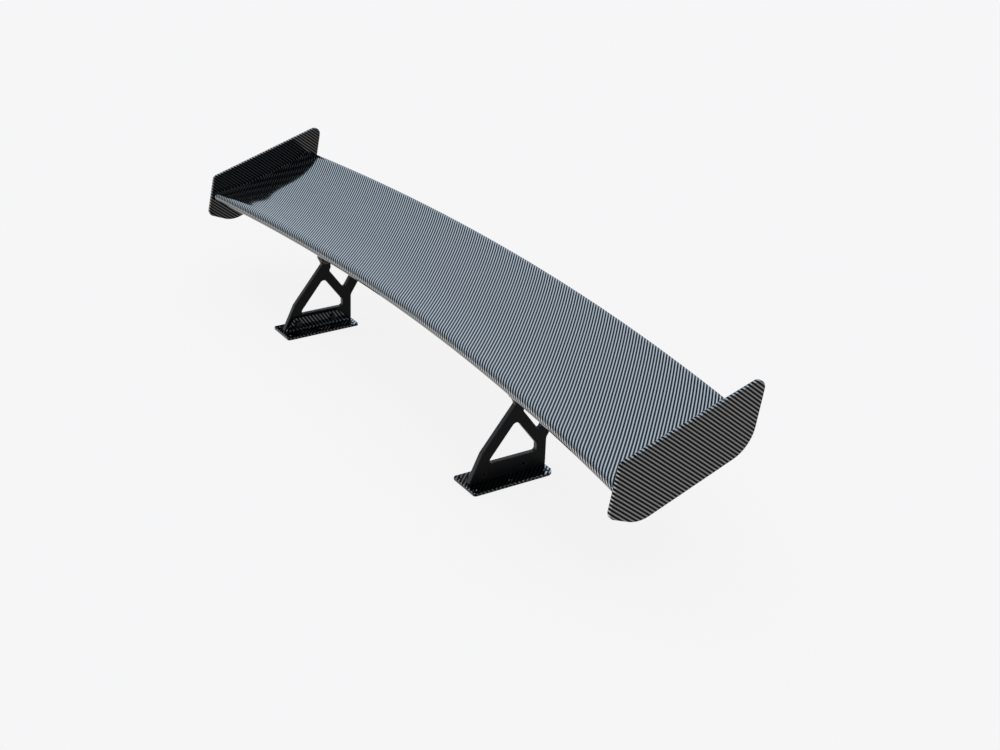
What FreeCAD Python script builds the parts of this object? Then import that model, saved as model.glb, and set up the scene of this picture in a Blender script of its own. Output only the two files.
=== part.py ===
"""Racing rear wing: a bowed carbon wing between end plates, on two plate uprights with moulded feet.

Frame: +X to the right along the span, +Y rearward to the trailing edge, +Z up, in millimetres.
The origin is the centre of the overall box at the level of the undersides of the feet. Outlines
are written from a datum at the back of the upright's window, DATUM_Y behind the origin.
"""
import FreeCAD, Part
import math
import os

V = FreeCAD.Vector
X_AXIS = V(1, 0, 0)

# Overall
OVERALL_WIDTH = 1500.0
DATUM_Y = -14.15                # where the outline datum lies in the part's own frame
END_PLATE_T = 8.0
HALF_SPAN = OVERALL_WIDTH / 2 - END_PLATE_T
BIG = 400.0                     # longer than any section, for cutting blocks

# Wing: leading edge place, chord and incidence at the centre, and their change towards the tips
LE_Y, LE_Z = -62.4, 172.8
LE_SWEEP, LE_DROP = 49.2, 5.3   # the planform bows forward towards the tips
CHORD, CHORD_TAPER = 234.0, 5.0
INCIDENCE, INCIDENCE_WASH = 16.9, 1.4
STATIONS = 9
SKIN_T = 1.4
CAVITY_END = 0.84               # chord fraction where the two skins meet and are bonded
CAVITY_END_Y = (-0.0288, -0.0580)
INNER_POINTS = 12               # points of each inner curve, crowded towards the nose
NOSE_CROWDING = 1.5
# Section in chord fractions: concave pressure side on top, full suction side below
UPPER = [(0, 0), (0.0123, 0.0277), (0.042, 0.040), (0.09, 0.033), (0.20, 0.009), (0.32, -0.0125),
         (0.45, -0.0245), (0.60, -0.0312), (0.75, -0.0330), (0.86, -0.0275), (0.94, -0.0175),
         (1, -0.005)]
LOWER = [(0, 0), (0.0123, -0.0317), (0.035, -0.050), (0.08, -0.074), (0.15, -0.098), (0.25, -0.116),
         (0.37, -0.1225), (0.50, -0.1175), (0.65, -0.0965), (0.80, -0.068), (0.92, -0.040),
         (1, -0.012)]

# Inner structure
SPAR_T = 2.5
FRONT_SPAR_AT, REAR_SPAR_AT = 0.20, 0.66
LAP_CAMBER = -0.052             # ribs and spars lap at this share of the chord below its line
RIB_T = 5.0
RIBS = {"centre_rib": 0.0, "left_inner_rib": -185.0, "right_inner_rib": 185.0,
        "left_outer_rib": -550.0, "right_outer_rib": 550.0,
        "left_tip_rib": -(HALF_SPAN - RIB_T / 2), "right_tip_rib": HALF_SPAN - RIB_T / 2}
HARDPOINT_T = 9.0
HARDPOINT_Y = (-26.0, 68.0)
HARDPOINT_MARGIN = 4.0          # how far the block reaches past the bracket's flange on each side

# End plates: (y, z, corner radius)
END_PLATE = [(-123.8, 131.4, 12), (-71.8, 109.8, 50), (123.5, 178.3, 60), (146.2, 289.6, 13),
             (-105.3, 212.7, 12)]
END_PLATE_EDGE_R = 2.0

# Uprights: plates with a triangular window, a front arm to the pivot and a rear arm to the clamp bolt
UPRIGHT_X = 362.6
UPRIGHT_T = 10.0
UPRIGHT_CHAMFER = 0.8
PIVOT = (-34.0, 143.0)
CLAMP = (75.9, 158.2)
REAR_ARM_W = 21.0
REAR_ARM_ANGLE = 56.0
CLAMP_HEAD_R = 11.5
PIVOT_HEAD_R = 12.0
ARC_SPARE = 0.1                 # straight left between the two arcs that round a head
UPRIGHT_REAR_RUN = 117.5        # how far the rear arm's back edge runs down from the clamp bolt
WINDOW = [(-93.9, 34.9, 5), (-0.3, 34.5, 5), (0.0, 48.3, 6), (-38.2, 100.6, 8)]

# Feet: a moulded base plate with an upstanding flange on the inboard face of the upright
FOOT_X, FOOT_W = 360.6, 71.0
FOOT_Y = (-134.0, 18.0)
FOOT_T = 5.0
FOOT_CORNER_R = 5.0
FOOT_REAR_R = 15.0              # the outboard rear corner, cut rounder than the others
FOOT_EDGE_R = 1.0
FOOT_ROOT_R = 4.0
FOOT_COVE_Y = (-122.0, 9.0)
FLANGE_T = 5.5
FLANGE = [(-125.0, 3.0, 1), (10.5, 3.0, 1), (10.5, 7.5, 1), (-12.7, 30.0, 7), (-108.0, 31.0, 7),
          (-125.0, 8.0, 3)]
FOOT_HOLE_R = 2.75              # clears an M5 screw
FOOT_HOLE_CHAMFER = 0.8
FOOT_HOLES_X = 25.0             # each side of the foot's middle
FOOT_HOLES_Y = (-127.0, -60.0, 7.0)
FOOT_BOLTS = [(-100.0, 18.8), (-25.3, 18.4)]

# Brackets under the wing
BRACKET_T = 6.0
BRACKET_LOBE_R = 11.0
BRACKET_FLANGE_W = 34.0
BRACKET_FLANGE_T = 5.0
BRACKET_FLANGE_Y = (-24.0, 66.0)
BRACKET_WEB = [(-45.0, 143.0), (-45.0, 168.0), (12.0, 178.0), (88.0, 206.0), (88.0, 150.0),
               (70.0, 138.0), (20.0, 149.0), (-30.0, 132.8)]
TRAVEL = 6.0                    # degrees the wing tips each way about the pivots
SLOT_SPARE = 0.3                # degrees of slot left beyond the travel
SLOT_R = 4.3
BRACKET_SCREW_Y = (-14.0, 24.0, 60.0)
SCREW_REACH = 0.8               # share of the hardpoint's depth that a screw reaches
SPOTFACE_SPARE = 1.0

# Hardware
M8_R, M8_HEAD_R, M8_HEAD_H, M8_NUT_AF, M8_NUT_H = 4.0, 7.0, 4.4, 13.0, 8.0
M8_WASHER_R, M8_WASHER_T = 8.5, 1.6
CLAMP_WASHER_R = 11.0
M6_R, M6_HEAD_R, M6_NUT_AF, M6_NUT_H = 3.0, 5.8, 10.0, 6.0
M6_WASHER_R, M6_WASHER_T = 6.0, 1.2
M6_SOCKET_AF, M8_SOCKET_AF = 4.0, 5.0
SCREW_HEAD_R, SCREW_HEAD_H = 5.25, 3.3
RUNNING = 0.05                  # radial clearance of the pivot
LOOSE = 0.2                     # radial clearance of a bolt in a washer
THREAD = 0.02                   # radial clearance drawn between a thread and its nut
SIDE_GAP = 0.2                  # axial gap each side of a bracket
THRUST_T = 1.0
BUSH_R = 6.0
BOLT_TIP = 1.5
SOCKET_SHARE = 0.5              # depth of a hex socket in its head
HEAD_DOME = 0.6                 # share of a button head's height that is rounded
CUT_SPARE = 1.0                 # how far a cutter runs past the face it starts from
PICK = 0.4                      # tolerance when edges are picked by their boxes


# ---- outlines -------------------------------------------------------------------------------

def rounded_wire(points, x):
    """A closed outline in the plane X = x from (y, z, corner radius) points."""
    edges, ends = [], []
    for i, (y, z, r) in enumerate(points):
        corner = V(x, y, z)
        before = V(x, *points[i - 1][:2]) - corner
        after = V(x, *points[(i + 1) % len(points)][:2]) - corner
        before.normalize()
        after.normalize()
        half = before.getAngle(after) / 2
        run = r / math.tan(half)
        middle = before + after
        middle.normalize()
        top = corner + middle * (r / math.sin(half) - r)
        ends.append((corner + before * run, top, corner + after * run))
    for i, (start, top, end) in enumerate(ends):
        edges.append(Part.Arc(start, top, end).toShape())
        edges.append(Part.LineSegment(end, ends[(i + 1) % len(ends)][0]).toShape())
    return Part.Wire(edges)


def plate(points, x, thickness):
    """A flat plate of a rounded outline, from x towards +X."""
    return Part.Face(rounded_wire(points, x)).extrude(V(thickness, 0, 0))


def rod(radius, x0, x1, y, z):
    """A cylinder along X from x0 to x1."""
    return Part.makeCylinder(radius, x1 - x0, V(x0, y, z), X_AXIS)


def ring(radius, bore, x0, x1, y, z):
    """A washer or bush along X."""
    return rod(radius, x0, x1, y, z).cut(rod(bore, x0, x1, y, z))


def hexagon(across_flats, x0, x1, y, z):
    """A hexagonal prism along X."""
    r = across_flats / math.sqrt(3)
    turns = [math.tau * i / 6 for i in range(7)]
    corners = [V(x0, y + r * math.cos(turn), z + r * math.sin(turn)) for turn in turns]
    return Part.Face(Part.makePolygon(corners)).extrude(V(x1 - x0, 0, 0))


def block(x0, x1, y0, y1, z0, z1):
    """A box between two corners."""
    return Part.makeBox(x1 - x0, y1 - y0, z1 - z0, V(x0, y0, z0))


# ---- wing section ---------------------------------------------------------------------------

def section_frame(u):
    """Leading edge y and z, chord and incidence at span fraction u, -1 to 1."""
    return (LE_Y - LE_SWEEP * u * u, LE_Z - LE_DROP * u * u, CHORD - CHORD_TAPER * u * u,
            math.radians(INCIDENCE + INCIDENCE_WASH * u * u))


def to_row(u, x, y):
    """A point of the section at span fraction u, from chord fractions."""
    le_y, le_z, chord, tilt = section_frame(u)
    along, up = x * chord, y * chord
    return V(u * HALF_SPAN, le_y + along * math.cos(tilt) - up * math.sin(tilt),
             le_z + along * math.sin(tilt) + up * math.cos(tilt))


def loop_curve(points):
    """A smooth curve through points, from the upper trailing edge round the nose to the lower one."""
    curve = Part.BSplineCurve()
    curve.interpolate(points)
    return curve


def half_edges(points, nose):
    """The upper and lower halves of a loop as edges that start at the nose, the point at index nose."""
    upper, lower = loop_curve(points), loop_curve(points)
    parting = upper.parameter(points[nose])
    upper.segment(upper.FirstParameter, parting)
    upper.reverse()
    lower.segment(parting, lower.LastParameter)
    return upper.toShape(), lower.toShape()


def inner_points(u):
    """Points of the section one skin thickness inside, in chord fractions, from seam to seam."""
    depth = SKIN_T / section_frame(u)[2]
    flat = [V(x, y, 0) for x, y in UPPER[::-1] + LOWER[1:]]
    curve = loop_curve(flat)
    nose = curve.parameter(flat[len(UPPER) - 1])
    inner = []
    for side, seam_y in ((-1, CAVITY_END_Y[0]), (1, CAVITY_END_Y[1])):
        seam = curve.parameter(V(CAVITY_END, seam_y, 0))
        for i in range(INNER_POINTS):
            share = (i + (side > 0)) / INNER_POINTS
            spread = (1 - share) ** NOSE_CROWDING if side < 0 else share ** NOSE_CROWDING
            t = nose + (seam - nose) * spread
            point, along = curve.value(t), curve.tangent(t)[0]
            inner.append((point.x - along.y * depth, point.y + along.x * depth))
        if side < 0:
            point, along = curve.value(nose), curve.tangent(nose)[0]
            inner.append((point.x - along.y * depth, point.y + along.x * depth))
    return inner


def section_edges(u):
    """The outer and inner edges of both skins at span fraction u."""
    outer = [to_row(u, x, y) for x, y in UPPER[::-1] + LOWER[1:]]
    inner = [to_row(u, x, y) for x, y in inner_points(u)]
    upper, lower = half_edges(outer, len(UPPER) - 1)
    upper_in, lower_in = half_edges(inner, INNER_POINTS)
    return {"upper": upper, "lower": lower, "upper_in": upper_in, "lower_in": lower_in}


def line(a, b):
    """A straight edge."""
    return Part.LineSegment(a, b).toShape()


def ends_of(edge):
    """First and last point of an edge."""
    return edge.valueAt(edge.FirstParameter), edge.valueAt(edge.LastParameter)


def midpoint(a, b):
    """The point half way between two points."""
    return (a + b) * 0.5


def skin_wire(edges, outer, inner):
    """The closed section of one skin, parted from the other at the nose and the trailing edge."""
    other = {"upper": "lower", "lower": "upper"}[outer]
    nose, tail = ends_of(edges[outer])
    nose_in, seam = ends_of(edges[inner])
    tail_mid = midpoint(tail, ends_of(edges[other])[1])
    seam_mid = midpoint(seam, ends_of(edges[other + "_in"])[1])
    return Part.Wire([edges[outer], line(tail, tail_mid), line(tail_mid, seam_mid), line(seam_mid, seam),
                      edges[inner], line(nose_in, nose)])


def outer_wire(edges):
    """The closed outer section of the whole wing."""
    tail = line(ends_of(edges["upper"])[1], ends_of(edges["lower"])[1])
    return Part.Wire([edges["upper"], tail, edges["lower"]])


def cavity_wire(edges):
    """The closed section of the hollow between the skins."""
    seam = line(ends_of(edges["upper_in"])[1], ends_of(edges["lower_in"])[1])
    return Part.Wire([edges["upper_in"], seam, edges["lower_in"]])


def web_wire(u, at):
    """A tall thin rectangle at one chord fraction, for a spar that follows the bow."""
    point = to_row(u, at, 0)
    y0, y1 = point.y - SPAR_T / 2, point.y + SPAR_T / 2
    corners = [V(point.x, y, z) for y, z in ((y0, 0), (y1, 0), (y1, BIG), (y0, BIG), (y0, 0))]
    return Part.makePolygon(corners)


def along_span(make_wire):
    """A solid lofted through the stations of the span."""
    fractions = [-1 + 2 * i / (STATIONS - 1) for i in range(STATIONS)]
    return Part.makeLoft([make_wire(u) for u in fractions], True, False)


# ---- wing -----------------------------------------------------------------------------------

def build_skins():
    """Both skins, the whole outer body and the hollow."""
    sections = {}

    def edges(u):
        """The section at u, worked out once."""
        if u not in sections:
            sections[u] = section_edges(u)
        return sections[u]

    upper = along_span(lambda u: skin_wire(edges(u), "upper", "upper_in"))
    lower = along_span(lambda u: skin_wire(edges(u), "lower", "lower_in"))
    outer = along_span(lambda u: outer_wire(edges(u)))
    hollow = along_span(lambda u: cavity_wire(edges(u)))
    return upper, lower, outer, hollow


def rib_slab(x):
    """The slice of space that a rib takes."""
    return block(x - RIB_T / 2, x + RIB_T / 2, -BIG, BIG, 0, BIG)


def half_lap(x, at):
    """Height at which a rib and a spar lap over each other."""
    return to_row(x / HALF_SPAN, at, LAP_CAMBER).z


def build_spars(hollow):
    """Two spar webs along the bow, notched from below where the ribs cross."""
    spars = {}
    for name, at in (("front_spar", FRONT_SPAR_AT), ("rear_spar", REAR_SPAR_AT)):
        web = along_span(lambda u: web_wire(u, at))
        spar = hollow.common(web)
        for x in RIBS.values():
            below = block(x - RIB_T / 2, x + RIB_T / 2, -BIG, BIG, 0, half_lap(x, at))
            spar = spar.cut(below)
        spars[name] = (spar, web, at)
    return spars


def build_ribs(hollow, spars):
    """Ribs that fill the section, notched from above where the spars cross."""
    ribs = {}
    for name, x in RIBS.items():
        rib = hollow.common(rib_slab(x))
        for _, web, at in spars.values():
            above = block(x - RIB_T, x + RIB_T, -BIG, BIG, half_lap(x, at), BIG)
            rib = rib.cut(web.common(above))
        ribs[name] = rib
    return ribs


def underside_z(outer, x, y):
    """Height of the wing's underside over a point."""
    probe = Part.makeLine(V(x, y, 0), V(x, y, BIG))
    return outer.common(probe).BoundBox.ZMin


def bracket_x():
    """Inboard and outboard faces of the right bracket's plate."""
    outboard = UPRIGHT_X - UPRIGHT_T / 2 - THRUST_T - SIDE_GAP
    return outboard - BRACKET_T, outboard


def build_hardpoint(hollow):
    """Right hardpoint: a metal block bonded to the inside of the lower skin."""
    x1 = bracket_x()[1]
    inboard, outboard = x1 - BRACKET_FLANGE_W - HARDPOINT_MARGIN, x1 + HARDPOINT_MARGIN
    box = block(inboard, outboard, *HARDPOINT_Y, 0, BIG)
    lifted = hollow.copy()
    lifted.translate(V(0, 0, HARDPOINT_T))
    return hollow.common(box).cut(lifted)


def slot_wire_solid(radius, x0, x1):
    """The band swept by a circle that runs along the slot about the pivot."""
    reach = math.dist(PIVOT, CLAMP)
    rest = math.degrees(math.atan2(CLAMP[1] - PIVOT[1], CLAMP[0] - PIVOT[0]))
    swing = TRAVEL + SLOT_SPARE

    def at(angle, distance):
        """A point at an angle and distance from the pivot."""
        turn = math.radians(angle)
        return V(x0, PIVOT[0] + distance * math.cos(turn), PIVOT[1] + distance * math.sin(turn))

    low, high = rest - swing, rest + swing
    near, far = reach - radius, reach + radius
    cap = math.degrees(radius / reach)
    arcs = [(at(low, far), at(rest, far), at(high, far)),
            (at(high, far), at(high + cap, reach), at(high, near)),
            (at(high, near), at(rest, near), at(low, near)),
            (at(low, near), at(low - cap, reach), at(low, far))]
    return Part.Face(Part.Wire([Part.Arc(*arc).toShape() for arc in arcs])).extrude(V(x1 - x0, 0, 0))


def build_bracket(outer):
    """Right bracket: a plate with the pivot bore and the clamp slot, and a flange under the wing."""
    x0, x1 = bracket_x()
    web = Part.Face(Part.makePolygon([V(x0, y, z) for y, z in BRACKET_WEB + BRACKET_WEB[:1]]))
    lug = web.extrude(V(BRACKET_T, 0, 0))
    lug = lug.fuse([rod(BRACKET_LOBE_R, x0, x1, *PIVOT), slot_wire_solid(BRACKET_LOBE_R, x0, x1)])
    lowered = outer.copy()
    lowered.translate(V(0, 0, -BRACKET_FLANGE_T))
    flange = lowered.common(block(x1 - BRACKET_FLANGE_W, x1, *BRACKET_FLANGE_Y, 0, BIG))
    bracket = lug.fuse(flange).cut(outer)
    bracket = bracket.cut(rod(BUSH_R, x0, x1, *PIVOT)).cut(slot_wire_solid(SLOT_R, x0, x1))
    return bracket.removeSplitter()


def screw_places(outer):
    """Where the right bracket's screws go: x, y, height of the head's seat and tip."""
    x0, x1 = bracket_x()
    x = x0 - (BRACKET_FLANGE_W - BRACKET_T) / 2
    places = []
    for y in BRACKET_SCREW_Y:
        under = underside_z(outer, x, y)
        places.append((x, y, under - BRACKET_FLANGE_T / 2, under + HARDPOINT_T * SCREW_REACH))
    return places


def screw_shanks(outer, radius):
    """Cylinders on the axes of the right bracket's screws, from below the flange to their tips."""
    return [Part.makeCylinder(radius, tip - seat + CUT_SPARE, V(x, y, seat - CUT_SPARE))
            for x, y, seat, tip in screw_places(outer)]


def screw_seats(outer):
    """Flat spotfaces for the screw heads under the bracket's flange."""
    radius = SCREW_HEAD_R + SPOTFACE_SPARE
    return [Part.makeCylinder(radius, seat, V(x, y, 0)) for x, y, seat, _ in screw_places(outer)]


def build_screws(outer):
    """Socket screws that hold the right bracket to its hardpoint."""
    screws = []
    for x, y, seat, tip in screw_places(outer):
        head = Part.makeCylinder(SCREW_HEAD_R, SCREW_HEAD_H, V(x, y, seat - SCREW_HEAD_H))
        shank = Part.makeCylinder(M6_R, tip - seat, V(x, y, seat))
        socket = hexagon(M6_SOCKET_AF, 0, SCREW_HEAD_H * SOCKET_SHARE, 0, 0)
        socket.rotate(V(0, 0, 0), V(0, 1, 0), -90)
        socket.translate(V(x, y, seat - SCREW_HEAD_H))
        screws.append(head.fuse(shank).cut(socket))
    return screws


# ---- end plates, uprights and feet ----------------------------------------------------------

def outline_edges(shape, x0, x1):
    """Edges that lie in the two faces of a plate between x0 and x1."""
    flat = [e for e in shape.Edges if e.BoundBox.XLength < PICK]
    return [e for e in flat if min(abs(e.BoundBox.XMin - x0), abs(e.BoundBox.XMin - x1)) < PICK]


def build_end_plate():
    """Right end plate, its edges rounded."""
    body = plate(END_PLATE, HALF_SPAN, END_PLATE_T)
    return body.makeFillet(END_PLATE_EDGE_R, outline_edges(body, HALF_SPAN, HALF_SPAN + END_PLATE_T))


def upright_outline():
    """Outline of an upright: base, front arm with the pivot head, and rear arm with the clamp head."""
    lean = math.radians(REAR_ARM_ANGLE)
    along = (math.cos(lean), math.sin(lean))
    across = (math.sin(lean), -math.cos(lean))

    def arm(run, side):
        """A point of the rear arm, from the clamp bolt along the arm and across it."""
        return (CLAMP[0] + along[0] * run + across[0] * side, CLAMP[1] + along[1] * run + across[1] * side)

    half = REAR_ARM_W / 2
    front, rear, top = PIVOT[0] - PIVOT_HEAD_R, PIVOT[0] + PIVOT_HEAD_R, PIVOT[1] + PIVOT_HEAD_R
    pivot_r, clamp_r = PIVOT_HEAD_R - ARC_SPARE, half - ARC_SPARE
    return [(-129.0, FOOT_T, 3), (-103.0, 55.3, 7), (-40.2, 128.8, 4), (front, 141.5, 4),
            (front, top, pivot_r), (rear, top, pivot_r), (rear, 120.5, 5), (-25.4, 113.7, 4),
            (4.6, 71.6, 4), (*arm(CLAMP_HEAD_R, -half), clamp_r), (*arm(CLAMP_HEAD_R, half), clamp_r),
            (*arm(-UPRIGHT_REAR_RUN, half), 12), (16.9, FOOT_T, 3)]


def build_upright():
    """Right upright: a black plate with its window, bores and countersinks."""
    x0, x1 = UPRIGHT_X - UPRIGHT_T / 2, UPRIGHT_X + UPRIGHT_T / 2
    body = plate(upright_outline(), x0, UPRIGHT_T).cut(plate(WINDOW, x0, UPRIGHT_T))
    body = body.makeChamfer(UPRIGHT_CHAMFER, outline_edges(body, x0, x1))
    for place in (PIVOT, CLAMP):
        body = body.cut(rod(M8_R + THREAD, x0, x1, *place))
    for y, z in FOOT_BOLTS:
        body = body.cut([rod(M6_R + LOOSE, x0, x1, y, z), countersink(x1, y, z, LOOSE)])
    return body


def countersink(x, y, z, spare):
    """The cone of a countersunk head whose flat top is at x."""
    depth = M6_HEAD_R - M6_R
    return Part.makeCone(M6_R + spare, M6_HEAD_R + spare, depth, V(x - depth, y, z), X_AXIS)


def build_foot():
    """Right foot: base plate, flange beside the upright, and the bolt holes."""
    x0, x1 = FOOT_X - FOOT_W / 2, FOOT_X + FOOT_W / 2
    base = block(x0, x1, *FOOT_Y, 0, FOOT_T)
    for radius, rear_outboard in ((FOOT_REAR_R, True), (FOOT_CORNER_R, False)):
        corners = [e for e in base.Edges if e.Length < FOOT_T + PICK and e.BoundBox.ZLength > FOOT_T / 2]
        base = base.makeFillet(radius, [e for e in corners if rear_outboard == (
            e.BoundBox.XMin > FOOT_X and e.BoundBox.YMin > 0)])
    base = base.makeFillet(FOOT_EDGE_R, [e for e in base.Edges if e.BoundBox.ZMin > FOOT_T - PICK])
    flange_x = UPRIGHT_X - UPRIGHT_T / 2 - FLANGE_T
    foot = base.fuse(plate(FLANGE, flange_x, FLANGE_T)).removeSplitter()
    cove = block(flange_x - FOOT_ROOT_R, flange_x, *FOOT_COVE_Y, FOOT_T, FOOT_T + FOOT_ROOT_R)
    axis_at = V(flange_x - FOOT_ROOT_R, -BIG / 2, FOOT_T + FOOT_ROOT_R)
    hollow = Part.makeCylinder(FOOT_ROOT_R, BIG, axis_at, V(0, 1, 0))
    foot = foot.fuse(cove.cut(hollow)).removeSplitter()
    for y, z in FOOT_BOLTS:
        foot = foot.cut(rod(M6_R + LOOSE, flange_x, flange_x + FLANGE_T, y, z))
    for y in FOOT_HOLES_Y:
        for side in (-FOOT_HOLES_X, FOOT_HOLES_X):
            hole = Part.makeCylinder(FOOT_HOLE_R, FOOT_T + 2 * CUT_SPARE, V(FOOT_X + side, y, -CUT_SPARE))
            rim = Part.makeCone(FOOT_HOLE_R, FOOT_HOLE_R + FOOT_HOLE_CHAMFER, FOOT_HOLE_CHAMFER,
                                V(FOOT_X + side, y, FOOT_T - FOOT_HOLE_CHAMFER))
            foot = foot.cut([hole, rim])
    return foot


# ---- hardware of the right side -------------------------------------------------------------

def build_m8(place, washer_r, thrust):
    """An M8 bolt through the upright and the bracket, with its washers and nut, as lists of solids."""
    y, z = place
    inner, outer_face = UPRIGHT_X - UPRIGHT_T / 2, UPRIGHT_X + UPRIGHT_T / 2
    bracket_in = bracket_x()[0]
    washer_x = bracket_in - SIDE_GAP - M8_WASHER_T
    nut_x = washer_x - M8_NUT_H
    head_x = outer_face + M8_WASHER_T
    head_top = head_x + M8_HEAD_H
    bolt = rod(M8_R, nut_x - BOLT_TIP, head_x, y, z).fuse(rod(M8_HEAD_R, head_x, head_top, y, z))
    bolt = bolt.removeSplitter()
    rim = [e for e in bolt.Edges if abs(e.BoundBox.XMin - head_top) < PICK]
    bolt = bolt.makeFillet(M8_HEAD_H * HEAD_DOME, rim)
    bolt = bolt.cut(hexagon(M8_SOCKET_AF, head_top - M8_HEAD_H * SOCKET_SHARE, head_top, y, z))
    washers = [ring(M8_WASHER_R, M8_R + LOOSE, outer_face, head_x, y, z),
               ring(washer_r, M8_R + LOOSE, washer_x, washer_x + M8_WASHER_T, y, z)]
    nut = hexagon(M8_NUT_AF, nut_x, washer_x, y, z).cut(rod(M8_R + THREAD, nut_x, washer_x, y, z))
    return bolt, washers, nut, ring(thrust, M8_R + LOOSE, inner - THRUST_T, inner, y, z)


def build_foot_bolts():
    """Countersunk M6 bolts through the upright and the foot's flange, with washers and nuts."""
    outer_face = UPRIGHT_X + UPRIGHT_T / 2
    flange_x = UPRIGHT_X - UPRIGHT_T / 2 - FLANGE_T
    washer_x = flange_x - M6_WASHER_T
    nut_x = washer_x - M6_NUT_H
    bolts, washers, nuts = [], [], []
    for y, z in FOOT_BOLTS:
        shank = rod(M6_R, nut_x - BOLT_TIP, outer_face, y, z)
        socket = hexagon(M6_SOCKET_AF, outer_face - M6_R, outer_face, y, z)
        bolts.append(shank.fuse(countersink(outer_face, y, z, 0)).removeSplitter().cut(socket))
        washers.append(ring(M6_WASHER_R, M6_R + LOOSE, washer_x, flange_x, y, z))
        nut = hexagon(M6_NUT_AF, nut_x, washer_x, y, z)
        nuts.append(nut.cut(rod(M6_R + THREAD, nut_x, washer_x, y, z)))
    return bolts, washers, nuts


# ---- the whole ------------------------------------------------------------------------------

def mirrored(shape):
    """The same piece on the left side."""
    return shape.mirror(V(0, 0, 0), X_AXIS)


def both_sides(solids):
    """One group of the right side's solids and their mirror images."""
    return Part.makeCompound(solids + [mirrored(s) for s in solids])


def pair(name, shape):
    """Two nodes, one for each side."""
    return {f"right_{name}": shape, f"left_{name}": mirrored(shape)}


def build_nodes():
    """Every node of the part."""
    upper, lower, outer, hollow = build_skins()
    spars = build_spars(hollow)
    nodes = {"wing_upper_skin": upper}
    nodes.update({name: spar for name, (spar, _, _) in spars.items()})
    nodes.update(build_ribs(hollow, spars))
    clearance = screw_shanks(outer, M6_R + LOOSE)
    nodes["wing_lower_skin"] = lower.cut(clearance + [mirrored(c) for c in clearance])
    hardpoint = build_hardpoint(hollow).cut(screw_shanks(outer, M6_R + THREAD))
    bracket = build_bracket(outer).cut(clearance + screw_seats(outer))
    bush = ring(BUSH_R, M8_R + RUNNING, *bracket_x(), *PIVOT)
    pivot_bolt, pivot_washers, pivot_nut, pivot_thrust = build_m8(PIVOT, M8_WASHER_R, M8_WASHER_R)
    clamp_bolt, clamp_washers, clamp_nut, clamp_thrust = build_m8(CLAMP, CLAMP_WASHER_R, M8_WASHER_R)
    foot_bolts, foot_washers, foot_nuts = build_foot_bolts()
    for name, shape in (("hardpoint", hardpoint), ("end_plate", build_end_plate()), ("bracket", bracket),
                        ("upright", build_upright()), ("foot", build_foot()), ("pivot_bush", bush)):
        nodes.update(pair(name, shape))
    nodes.update({"bracket_screws": both_sides(build_screws(outer)),
                  "pivot_bolts": both_sides([pivot_bolt]),
                  "pivot_washers": both_sides(pivot_washers),
                  "pivot_nuts": both_sides([pivot_nut]),
                  "clamp_bolts": both_sides([clamp_bolt]),
                  "clamp_washers": both_sides(clamp_washers),
                  "clamp_nuts": both_sides([clamp_nut]),
                  "thrust_washers": both_sides([pivot_thrust, clamp_thrust]),
                  "foot_bolts": both_sides(foot_bolts),
                  "foot_washers": both_sides(foot_washers),
                  "foot_nuts": both_sides(foot_nuts)})
    return nodes


def main():
    """Builds each node and writes its file."""
    os.makedirs("parts", exist_ok=True)
    for name, shape in build_nodes().items():
        shape.translate(V(0, DATUM_Y, 0))
        shape.exportStep(f"parts/{name}.step")
        solids = shape.Solids
        print(f"{name:18} valid={shape.isValid()} solids={len(solids)} volume={shape.Volume / 1000:.2f} cm3")


main()
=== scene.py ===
"""Looks of a racing rear wing: twill carbon skins and plates, black uprights and their hardware.

Everything is in metres in the part's own frame: +X to the right along the span, +Y rearward to the
trailing edge, +Z up, with the origin under the middle of the wing at the level of the feet.
"""

import logging
import math
from dataclasses import dataclass
from enum import Enum

import bmesh
import bpy
import numpy as np
from mathutils import Matrix, Vector


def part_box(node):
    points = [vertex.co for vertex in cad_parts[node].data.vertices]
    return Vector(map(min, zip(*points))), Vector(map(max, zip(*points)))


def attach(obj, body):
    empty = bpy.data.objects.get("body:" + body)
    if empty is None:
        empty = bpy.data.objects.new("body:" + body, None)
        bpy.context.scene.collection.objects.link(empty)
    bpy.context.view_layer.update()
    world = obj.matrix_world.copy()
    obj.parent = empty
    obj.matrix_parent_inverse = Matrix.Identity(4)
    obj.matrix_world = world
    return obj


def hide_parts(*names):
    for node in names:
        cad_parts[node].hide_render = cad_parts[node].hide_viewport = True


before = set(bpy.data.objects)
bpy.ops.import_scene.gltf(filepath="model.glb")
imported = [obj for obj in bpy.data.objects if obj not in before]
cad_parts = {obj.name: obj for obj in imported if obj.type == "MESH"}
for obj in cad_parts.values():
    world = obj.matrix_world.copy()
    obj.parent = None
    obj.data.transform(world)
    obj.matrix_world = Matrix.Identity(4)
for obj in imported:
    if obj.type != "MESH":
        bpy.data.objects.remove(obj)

LOG = logging.getLogger("rear_wing")
MM = 0.001
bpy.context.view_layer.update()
# Where nearly all values of a noise texture lie
NOISE_LOW, NOISE_HIGH = 0.3, 0.7
Socket = bpy.types.NodeSocket
Node = bpy.types.Node
Tree = bpy.types.NodeTree
Axis = tuple[float, float]


# ---- colours and nodes ----------------------------------------------------------------------

def linear(colour: str) -> tuple[float, float, float, float]:
    """Turns an sRGB hex colour into linear values.

    Args:
        colour: The colour, as in "#A0B0C0".

    Returns:
        Linear red, green and blue, and an alpha of 1.
    """
    parts = [int(colour[i:i + 2], 16) / 255 for i in (1, 3, 5)]
    flat = [c / 12.92 if c <= 0.04045 else ((c + 0.055) / 1.055) ** 2.4 for c in parts]
    return (*flat, 1.0)


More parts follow.
